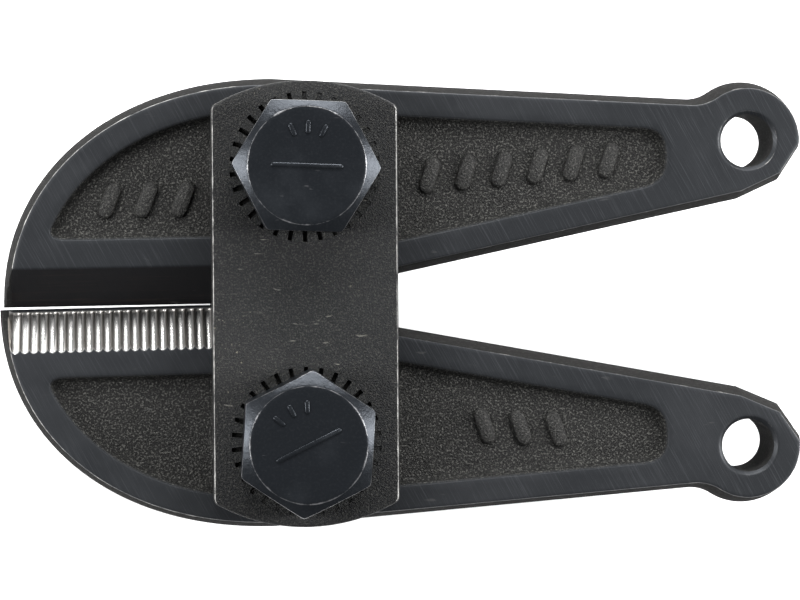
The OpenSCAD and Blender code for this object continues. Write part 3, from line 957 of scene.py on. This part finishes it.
# %% Bars on the nose and the arm
bar = pad("bar_pattern", capsule(BAR_LENGTH, BAR_WIDTH), BAR_HEIGHT, 0.5, 0.5)
floor_z = HALF_T - POCKET_DEPTH
arm_turn = (inner_angle + back_angle) / 2
arm_x = (BOSS_R + pocket_end) / 2 - BAR_WIDTH / 2
arm_y = (floor_of_arm(arm_x) + back_of_arm(arm_x)) / 2
nose_place = (-BOSS_R - BAR_WIDTH - NOSE_BARS * BAR_PITCH / 2, low_y + BAR_LENGTH)


def bar_row(name, count, centre, turn_deg, under):
    """A row centred on a place in the jaw's own frame, on its upper or its under face."""
    mesh = made_by_nodes(name, row_tree, {
        "Piece": bar, "Count": count, "Step": (BAR_PITCH, 0, 0),
        "Lean": math.radians(BAR_LEAN), "Material": BAR_SKIN,
    })
    mesh.transform(Matrix.Translation((-(count - 1) / 2 * BAR_PITCH, 0, 0)))
    mesh.transform(Matrix.Translation((*centre, floor_z)) @ Matrix.Rotation(math.radians(turn_deg), 4, "Z"))
    if under:
        mesh.transform(Matrix.Scale(-1, 4, (0, 0, 1)))
    return mesh


for which, place in JAW_PLACES.items():
    for label, count, centre, turn_deg, under in (
        ("nose_bars", NOSE_BARS, nose_place, 0, False),
        ("arm_bars_smooth_side", FRONT_ARM_BARS, (arm_x, arm_y), arm_turn, False),
        ("arm_bars_fluted_side", BACK_ARM_BARS, (arm_x, arm_y), arm_turn, True),
    ):
        name = f"{which}_{label}"
        bars = finished(bar_row(name, count, centre, turn_deg, under), name, place, [BAR_SKIN], sharp=60)
        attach(bars, f"{which}_jaw_body")

# %% [markdown]
# ## The link plates
#
# Each plate is cropped from thick bar, so its long edges are rolled round and its ends are
# crowned. Teeth are pressed into the outer face round each hole, and they bite into the
# bolt head or the nut and keep it from turning. A press never comes down quite level, so
# the gaps between the teeth are deeper on one side of each hole.

# %% Plate finish
def plate_finish():
    f = Finish("phosphated plate steel", (0.0080, 0.0083, 0.0088), 0.4, 0.5, 0.14)
    pits = f.group(grain, Scale=3600.0)
    blotch = noise_node(f.tree, f.vector, 38, 5)
    f.over(ramp(f.tree, blotch, 0.4, 0.75), (0.0135, 0.0138, 0.0142), 0.46)
    f.over(pits["Speckle"], (0.029, 0.0287, 0.0262), 0.44)
    f.relief(pits["Height"], 0.3)
    spots = math_node(f.tree, "MULTIPLY", ramp(f.tree, noise_node(f.tree, f.vector, 1900, 2), 0.66, 0.74),
                      ramp(f.tree, blotch, 0.5, 0.62))
    f.over(spots, (0.13, 0.12, 0.095), 0.4)
    f.over(f.group(flecks, Scale=420.0)["Mask"], (0.11, 0.107, 0.095), 0.36)
    f.over(f.group(flecks, Scale=300.0, Turn=(0, 0, 2.1))["Mask"], (0.09, 0.088, 0.078), 0.38)
    # Painted shade: the pressed floor between the teeth is darkened, most where the press went deepest.
    f.over(f.mask("tooth_recess_and_shade"), (0.0042, 0.0041, 0.0037), 0.6)
    worn = f.group(wear, Edge=f.mask("edge"), Amount=0.42)["Mask"]
    f.over(worn, (0.28, 0.275, 0.265), 0.34)
    return f.done()


PLATE_STEEL = plate_finish()

# %% The plate's outline, with its corners eased
hole_spacing = (UPPER - LOWER).length / 2
plate_half = hole_spacing + PLATE_END
crown_r = ((PLATE_W / 2) ** 2 + PLATE_CROWN**2) / (2 * PLATE_CROWN)
corner_y = plate_half - PLATE_CROWN
CORNER_EASE = 0.6


def plate_end(direction):
    """One crowned end, from its right corner to its left for the upper end."""
    half = math.degrees(math.asin((PLATE_W / 2) / crown_r))
    away = math.degrees(CORNER_EASE / crown_r)
    centre = np.array([0, plate_half - crown_r])
    top = arc(centre, crown_r, 90 - half + away, 90 + half - away, 30)
    right = bend([PLATE_W / 2, corner_y - CORNER_EASE], [PLATE_W / 2, corner_y], top[0])
    left = bend(top[-1], [-PLATE_W / 2, corner_y], [-PLATE_W / 2, corner_y - CORNER_EASE])
    points = right[:-1] + top + left[1:]
    return points if direction > 0 else [-p for p in points]


PLATE_OUTLINE = spaced(plate_end(1) + plate_end(-1), 0.9)
HOLE_R = BOLT_R + 0.1
HOLES = [np.array([0, side * hole_spacing]) for side in (1, -1)]
EDGE_R = {"outer": 0.42, "inner": 0.3}
PRESSED_HARDEST = (195, 120)


# %% The plate's height, and its creases
def plate_height(face):
    radius = EDGE_R[face]

    def height(p):
        edge = distance(p, PLATE_OUTLINE)
        over = np.clip(radius - edge, 0, radius)
        z = PLATE_T / 2 - radius + np.sqrt(np.maximum(radius**2 - over**2, 0))
        from_hole = np.minimum(*[np.linalg.norm(p - h, axis=1) for h in HOLES])
        # This share sets how far the floor between the teeth is pressed down, and the material also uses it
        # as the mask of painted shade there.
        tooth_recess_and_shade = np.zeros(len(p))
        if face == "outer":
            tooth_recess_and_shade = ease(TOOTH_INNER_R - 0.1, TOOTH_INNER_R, from_hole)
            tooth_recess_and_shade *= 1 - ease(TOOTH_OUTER_R - 0.12, TOOTH_OUTER_R, from_hole)
            for hole, heaviest in zip(HOLES, PRESSED_HARDEST):
                from_middle = p - hole
                reach = np.maximum(np.linalg.norm(from_middle, axis=1), 1e-6)
                pressed = 0.2 + 0.8 * ease(-0.5, 0.2, from_middle @ along(heaviest) / reach)
                tooth_recess_and_shade *= np.where(reach < TOOTH_OUTER_R + 1, pressed, 1)
        worn = np.exp(-((edge - 0.5 * radius) / (0.3 * radius)) ** 2)
        worn *= 0.15 + 0.85 * ease(0.9, 0.99, np.abs(p[:, 0]) / (PLATE_W / 2))
        return z - TOOTH_DEPTH * tooth_recess_and_shade, {"edge": worn, "tooth_recess_and_shade": tooth_recess_and_shade}
    return height


def plate_creases(face):
    radius = EDGE_R[face]
    insets = [radius * (1 - math.cos(math.radians(a))) for a in (15, 35, 55, 72, 90)]
    rows = [ring(PLATE_OUTLINE, inset) for inset in [*insets, radius + 0.4]]
    lines = [(np.vstack([row, row[:1]]), False) for row in rows]
    if face == "outer":
        for hole in HOLES:
            lines += [(circle(hole, TOOTH_INNER_R - back, 120), True) for back in (0.1, 0)]
            lines += [(circle(hole, TOOTH_OUTER_R - back, 120), True) for back in (0.12, 0.06, 0)]
    return lines


# %% Make both plates
plate_boundaries = [PLATE_OUTLINE, *[circle(h, HOLE_R, 48, clockwise=True) for h in HOLES]]
plate_mesh = solid_between(
    "plate", plate_boundaries,
    (plate_creases("outer"), plate_height("outer")),
    (plate_creases("inner"), plate_height("inner")),
    1.1,
)


def plate_place(front):
    middle = (front_low + front_high if front else back_low + back_high) / 2
    place = Matrix.Translation((PLATE_MID_X, 0, middle)) @ Matrix.Rotation(-PLATE_LEAN, 4, "Z")
    return place if front else place @ Matrix.Rotation(math.pi, 4, "X")


for side in ("front", "back"):
    plate = finished(plate_mesh.copy(), f"{side}_link_bar", plate_place(side == "front"), [PLATE_STEEL])
    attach(plate, "link")
    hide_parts(f"{side}_link_plate")

# %% [markdown]
# ## Pressed teeth
#
# A tooth is a wedge that widens outwards, because the gaps between the teeth keep the same
# width all the way. The ring tree turns thirty of them about each hole.


# %% One tooth, and a ring of them at each hole
def tooth_outline():
    inner, outer = TOOTH_INNER_R + 0.08, TOOTH_OUTER_R + 0.2
    half = [(math.pi * r / TOOTH_COUNT) - TOOTH_GAP / 2 for r in (inner, outer)]
    corners = [(inner, -half[0]), (outer, -half[1]), (outer, half[1]), (inner, half[0])]
    return spaced(corners, 0.9)


tooth = pad("tooth_pattern", tooth_outline(), TOOTH_DEPTH - 0.012, 0.13, 0.05)


def tooth_finish():
    f = Finish("pressed tooth steel", (0.0095, 0.0099, 0.0102), 0.4, 0.5, 0.16)
    pits = f.group(grain, Scale=3600.0)
    f.over(pits["Speckle"], (0.027, 0.0267, 0.0243), 0.44)
    f.relief(pits["Height"], 0.26)
    f.over(ramp(f.tree, noise_node(f.tree, f.vector, 260, 4), 0.55, 0.75), (0.007, 0.007, 0.0062), 0.5)
    return f.done()


TOOTH_STEEL = tooth_finish()
for side in ("front", "back"):
    for which, hole in zip(("upper", "lower") if side == "front" else ("lower", "upper"), HOLES):
        name = f"{side}_{which}_teeth"
        mesh = made_by_nodes(name, ring_tree, {
            "Piece": tooth, "Count": TOOTH_COUNT, "First": 0.0,
            "Step": math.tau / TOOTH_COUNT, "Material": TOOTH_STEEL,
        })
        at_hole = Matrix.Translation((*hole, PLATE_T / 2 - TOOTH_DEPTH))
        teeth = finished(mesh, name, plate_place(side == "front") @ at_hole, [TOOTH_STEEL], sharp=50)
        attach(teeth, "link")

# %% [markdown]
# ## Bolts and nuts
#
# A hexagon is cut from bar by a chamfering cone, which leaves a round top and a curved
# line on each flat. Drawn as rings round the axis, each ring is as wide as the hexagon
# allows and as high as the cone allows, so those curves come out by themselves.

# %% Bolt and nut finishes
def hardware_finish(name, colour, streak, rough):
    f = Finish(name, colour, 0.7, rough)
    blotch = noise_node(f.tree, f.vector, 120, 5, 0.65)
    f.over(ramp(f.tree, blotch, 0.45, 0.75), streak, rough + 0.07)
    pits = f.group(grain, Scale=2400.0)
    f.relief(pits["Height"], 0.04)
    f.relief(noise_node(f.tree, f.vector, 170, 3), 0.12)
    f.over(math_node(f.tree, "MULTIPLY", pits["Speckle"], 0.1), (0.05, 0.052, 0.056))
    nicks = f.group(flecks, Scale=330.0)["Mask"]
    f.over(math_node(f.tree, "MULTIPLY", nicks, 0.6), (0.10, 0.10, 0.105), 0.3)
    worn = f.group(wear, Edge=f.mask("edge"), Amount=0.42)["Mask"]
    f.over(worn, (0.19, 0.19, 0.195), 0.3)
    return f.done()


BOLT_STEEL = hardware_finish("blued bolt steel", (0.0125, 0.0145, 0.0175), (0.017, 0.0195, 0.023), 0.3)
NUT_STEEL = hardware_finish("blackened nut steel", (0.015, 0.015, 0.016), (0.023, 0.0225, 0.022), 0.4)

# %% Rings round an axis
SIDES = 144
turns = np.arange(SIDES) * math.tau / SIDES
hex_edge = (HEX_AF / 2) / np.cos(turns % (math.pi / 3) - math.pi / 6)
hex_edge = np.minimum(hex_edge, 0.992 * HEX_AF / math.sqrt(3))
cone_r = HEX_TOP_SHARE * HEX_AF / 2
CONE = math.tan(math.radians(30))


def rings_to_mesh(name, rows, closed):
    """Joins rows of (radii, heights, worn) round the axis.

    A closed set is a tube; otherwise both ends get caps.
    """
    verts, faces, worn, count = [], [], [], len(rows)
    for radii, heights, edge in rows:
        radii, heights, edge = (np.broadcast_to(v, SIDES) for v in (radii, heights, edge))
        verts += list(zip(radii * np.cos(turns), radii * np.sin(turns), heights))
        worn += list(edge)
    for k in range(count if closed else count - 1):
        a, b = k * SIDES, (k + 1) % count * SIDES
        faces += [(a + i, b + i, b + (i + 1) % SIDES, a + (i + 1) % SIDES) for i in range(SIDES)]
    if not closed:
        faces += [tuple(range(SIDES)), tuple(range((count - 1) * SIDES, count * SIDES))[::-1]]
    mesh = bpy.data.meshes.new(name)
    mesh.from_pydata(verts, [], faces)
    mesh.attributes.new("edge", "FLOAT", "POINT").data.foreach_set("value", np.array(worn, np.float32))
    return mesh


def hexagon_end(face_z, outwards, start_share=0.35):
    """Rings over one chamfered end of a hexagon, from its middle out to the flats."""
    rows = []
    for r in (start_share * cone_r, 0.7 * cone_r, 0.93 * cone_r):
        rows.append((r, face_z, 0.0))
    rows.append((0.985 * cone_r, face_z - outwards * 0.01, 0.55))
    rows.append((1.01 * cone_r, face_z - outwards * 0.07, 0.8))
    for share in (0.25, 0.6, 0.9):
        r = cone_r + share * (hex_edge - cone_r)
        rows.append((r, face_z - outwards * (r - cone_r) * CONE, 0.1))
    r = hex_edge - 0.05
    rows.append((r, face_z - outwards * (r - cone_r) * CONE, 0.75))
    rows.append((hex_edge, face_z - outwards * ((hex_edge - cone_r) * CONE + 0.1), 0.75))
    return rows


corner_wear = np.clip((hex_edge / hex_edge.max() - 0.975) / 0.025, 0, 1)

# %% [markdown]
# ## Threads
#
# Only the last turns of the thread show, where the bolt ends stand proud of the nuts. The
# crest is a triangle swept along a spiral, which is what a threading die leaves.

# %% Thread tree
thread_tree, given, end = new_tree("Thread", [
    ("Turns", "NodeSocketFloat"), ("Radius", "NodeSocketFloat"), ("Length", "NodeSocketFloat"),
    ("Crest", "NodeSocketFloat"), ("Material", "NodeSocketMaterial"),
])
spiral = add(thread_tree, "GeometryNodeCurveSpiral", {
    "Resolution": 64, "Rotations": given["Turns"], "Start Radius": given["Radius"],
    "End Radius": given["Radius"], "Height": given["Length"],
})
section = add(thread_tree, "GeometryNodeCurvePrimitiveCircle", {"Resolution": 3, "Radius": given["Crest"]})
swept = add(thread_tree, "GeometryNodeCurveToMesh",
            {"Curve": spiral["Curve"], "Profile Curve": section["Curve"], "Fill Caps": True})
real = add(thread_tree, "GeometryNodeRealizeInstances", {"Geometry": swept[0]})
painted = add(thread_tree, "GeometryNodeSetMaterial", {"Geometry": real[0], "Material": given["Material"]})
thread_tree.links.new(painted[0], end["Geometry"])

# %% Bolt meshes
THREAD_PITCH, THREAD_R, MARK_HEIGHT = 1.5, 4.45, 0.16
HEX_TURN = {
    "upper_bolt": math.radians(-2.9), "lower_bolt": math.radians(25.3),
    "upper_nut": math.radians(11), "lower_nut": math.radians(-8),
}


def bolt_mesh():
    """A bolt from its end, at z = 0, up to its head, without its marks."""
    top = bolt_top - MARK_HEIGHT
    rows = [
        (3.2, 0.0, 0.2), (3.95, 0.0, 0.4), (4.1, 0.12, 0.7), (THREAD_R, 0.6, 0.3), (THREAD_R, 4.0, 0.0),
        (BOLT_R, 4.6, 0.0), (BOLT_R, front_high, 0.0),
        (hex_edge - 0.5, front_high, 0.0), (hex_edge - 0.1, front_high + 0.12, 0.4),
        (hex_edge, front_high + 0.3, 0.2 + 0.4 * corner_wear),
        (hex_edge, front_high + 2.4, 0.75 * corner_wear),
        (hex_edge, top - (hex_edge - cone_r) * CONE - 0.35, 0.75 * corner_wear),
    ]
    return rings_to_mesh("bolt", rows + hexagon_end(top, 1)[::-1], closed=False)


def nut_mesh():
    """A nut between its two chamfered ends, with a countersunk bore."""
    outer = hexagon_end(nut_low, -1, 0.82)
    inner = hexagon_end(nut_high, 1, 0.82)
    countersink = [(BOLT_R + 0.55, nut_low, 0.5), (BOLT_R + 0.06, nut_low + 0.5, 0.2)]
    rows = [(BOLT_R + 0.06, nut_high - 0.5, 0), (BOLT_R + 0.4, nut_high, 0), *inner[1:]]
    chamfer = (hex_edge - cone_r) * CONE + 0.4
    rows += [(hex_edge, z, 0.6 * corner_wear) for z in (nut_high - chamfer, nut_low + chamfer)]
    rows += [*outer[:0:-1], *countersink]
    return rings_to_mesh("nut", rows, closed=True)


for which, pivot in (("upper", UPPER), ("lower", LOWER)):
    at = Matrix.Translation((pivot.x, pivot.y, 0))
    for kind, mesh, material, slot in (
        ("bolt", bolt_mesh(), BOLT_STEEL, "bolt_steel"), ("nut", nut_mesh(), NUT_STEEL, "nut_steel"),
    ):
        turn = Matrix.Rotation(HEX_TURN[f"{which}_{kind}"], 4, "Z")
        piece = finished(mesh, f"{which}_hex_{kind}", at @ turn, [material], sharp=28)
        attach(piece, "link")
        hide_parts(f"{which}_pivot_{kind}")
    thread = made_by_nodes(f"{which}_thread", thread_tree, {
        "Turns": 2.0, "Radius": THREAD_R + 0.1, "Length": 2 * THREAD_PITCH, "Crest": 0.42,
        "Material": BOLT_STEEL,
    })
    from_end = Matrix.Translation((0, 0, THREAD_PITCH / 2))
    crest = finished(thread, f"{which}_bolt_thread", at @ from_end, [BOLT_STEEL], sharp=50)
    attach(crest, "link")

# %% [markdown]
# ## Head marks
#
# Bolt heads carry raised marks from the die. Three short dashes near the rim and one bar
# across the middle stand in for them.

# %% Dashes and a bar on each head
DASH_FROM_MIDDLE, DASH_STEP = 5.0, 24
dash_outline = np.array(capsule(1.9, 0.62, 5)) + [DASH_FROM_MIDDLE, 0]
HEAD_MARKS = {
    "dash": (3, pad("dash_pattern", dash_outline, MARK_HEIGHT, 0.16, 0.1), DASH_STEP),
    "bar": (1, pad("head_bar_pattern", capsule(9.5, 0.6, 5), MARK_HEIGHT, 0.16, 0.1), 0),
}
for which, pivot in (("upper", UPPER), ("lower", LOWER)):
    tilt = HEX_TURN[f"{which}_bolt"]
    for label, (count, pattern, step) in HEAD_MARKS.items():
        name = f"{which}_head_{label}"
        first = tilt + (math.radians(90 - DASH_STEP) if label == "dash" else 0)
        mesh = made_by_nodes(name, ring_tree, {
            "Piece": pattern, "Count": count, "First": first, "Step": math.radians(step),
            "Material": BOLT_STEEL,
        })
        at = Matrix.Translation((pivot.x, pivot.y, bolt_top - MARK_HEIGHT))
        mark = finished(mesh, name, at, [BOLT_STEEL], sharp=60)
        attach(mark, "link")

# %% The patterns are done with
for pattern in [bar, tooth, *[p for _, p, _ in HEAD_MARKS.values()]]:
    bpy.data.objects.remove(pattern)

# %% [markdown]
# ## Sleeves
#
# The sleeves that the jaws turn on are plain turned tubes, so the mechanical model's own
# shape stays, with a bright turned finish.

# %% Sleeve finish
def sleeve_finish():
    f = Finish("turned sleeve steel", (0.42, 0.41, 0.39), 1.0, 0.28)
    marks = f.group(brush, Turn=(0, 0, 0), Stretch=(200, 200, 4000))["Marks"]
    f.over(ramp(f.tree, marks, 0.5, 0.75), (0.30, 0.29, 0.275), 0.36)
    f.relief(marks, 0.01)
    return f.done()


SLEEVE_STEEL = sleeve_finish()
for which in ("upper", "lower"):
    sleeve = frame["nodes"][f"{which}_pivot_sleeve"]
    for socket in sleeve.material_slots:
        socket.material = SLEEVE_STEEL

# %% [markdown]
# ## Floor, light and camera
#
# Black steel shows its shape through what it reflects. One broad lamp over the far side
# lights the bevels that lean towards it and leaves the opposite ones dark, and weaker
# lamps on both sides draw the edges. The floor is plain and nearly white.

# %% Floor
floor_mesh = bpy.data.meshes.new("floor")
reach = 1.6
corners = [(-reach, -reach, 0), (reach, -reach, 0), (reach, reach, 0), (-reach, reach, 0)]
floor_mesh.from_pydata(corners, [], [(0, 1, 2, 3)])
floor = bpy.data.objects.new("floor", floor_mesh)
COLLECTION.objects.link(floor)
pale = bpy.data.materials.new("pale floor")
pale.use_nodes = True
pale.node_tree.nodes["Principled BSDF"].inputs["Base Color"].default_value = (0.9, 0.9, 0.9, 1)
pale.node_tree.nodes["Principled BSDF"].inputs["Roughness"].default_value = 0.9
floor_mesh.materials.append(pale)

# %% World and lamps
world = bpy.data.worlds.new("soft room")
world.use_nodes = True
world.node_tree.nodes["Background"].inputs["Color"].default_value = (0.95, 0.97, 1.0, 1)
world.node_tree.nodes["Background"].inputs["Strength"].default_value = 0.36
bpy.context.scene.world = world
CENTRE = (Vector(cad_box[0]) + Vector(cad_box[1])) / 2


def lamp(name, offset, size, power):
    data = bpy.data.lights.new(name, "AREA")
    data.shape, data.size, data.size_y, data.energy = "RECTANGLE", size[0], size[1], power
    obj = bpy.data.objects.new(name, data)
    obj.location = CENTRE + Vector(offset)
    obj.rotation_euler = (-Vector(offset)).to_track_quat("-Z", "Y").to_euler()
    COLLECTION.objects.link(obj)


lamp("far lamp", (0.02, 0.44, 0.22), (0.5, 0.16), 6.5)
lamp("left lamp", (-0.45, 0.02, 0.2), (0.16, 0.4), 5.5)
lamp("right lamp", (0.45, 0.02, 0.2), (0.16, 0.4), 6.0)
bpy.context.scene.view_settings.view_transform = "Standard"

# %% Camera
cam_place, cam_target = Vector((-31.09, 10.48, 379.95)) * MM, Vector((-1.2, 0.15, 24.95)) * MM
cam_up = Vector((math.sin(math.radians(1.15)), math.cos(math.radians(1.15)), 0))
camera_data = bpy.data.cameras.new("camera")
camera_data.lens, camera_data.sensor_width = 119.2, 36
camera_data.clip_start, camera_data.clip_end = 0.01, 20
camera = bpy.data.objects.new("camera", camera_data)
back = (cam_place - cam_target).normalized()
right = cam_up.cross(back).normalized()
facing = Matrix((right, back.cross(right), back)).transposed().to_4x4()
camera.matrix_world = Matrix.Translation(cam_place) @ facing
COLLECTION.objects.link(camera)
bpy.context.scene.camera = camera

# %% Print the frame's box and finish
print("cad box", [[round(v / MM, 2) for v in c] for c in cad_box])
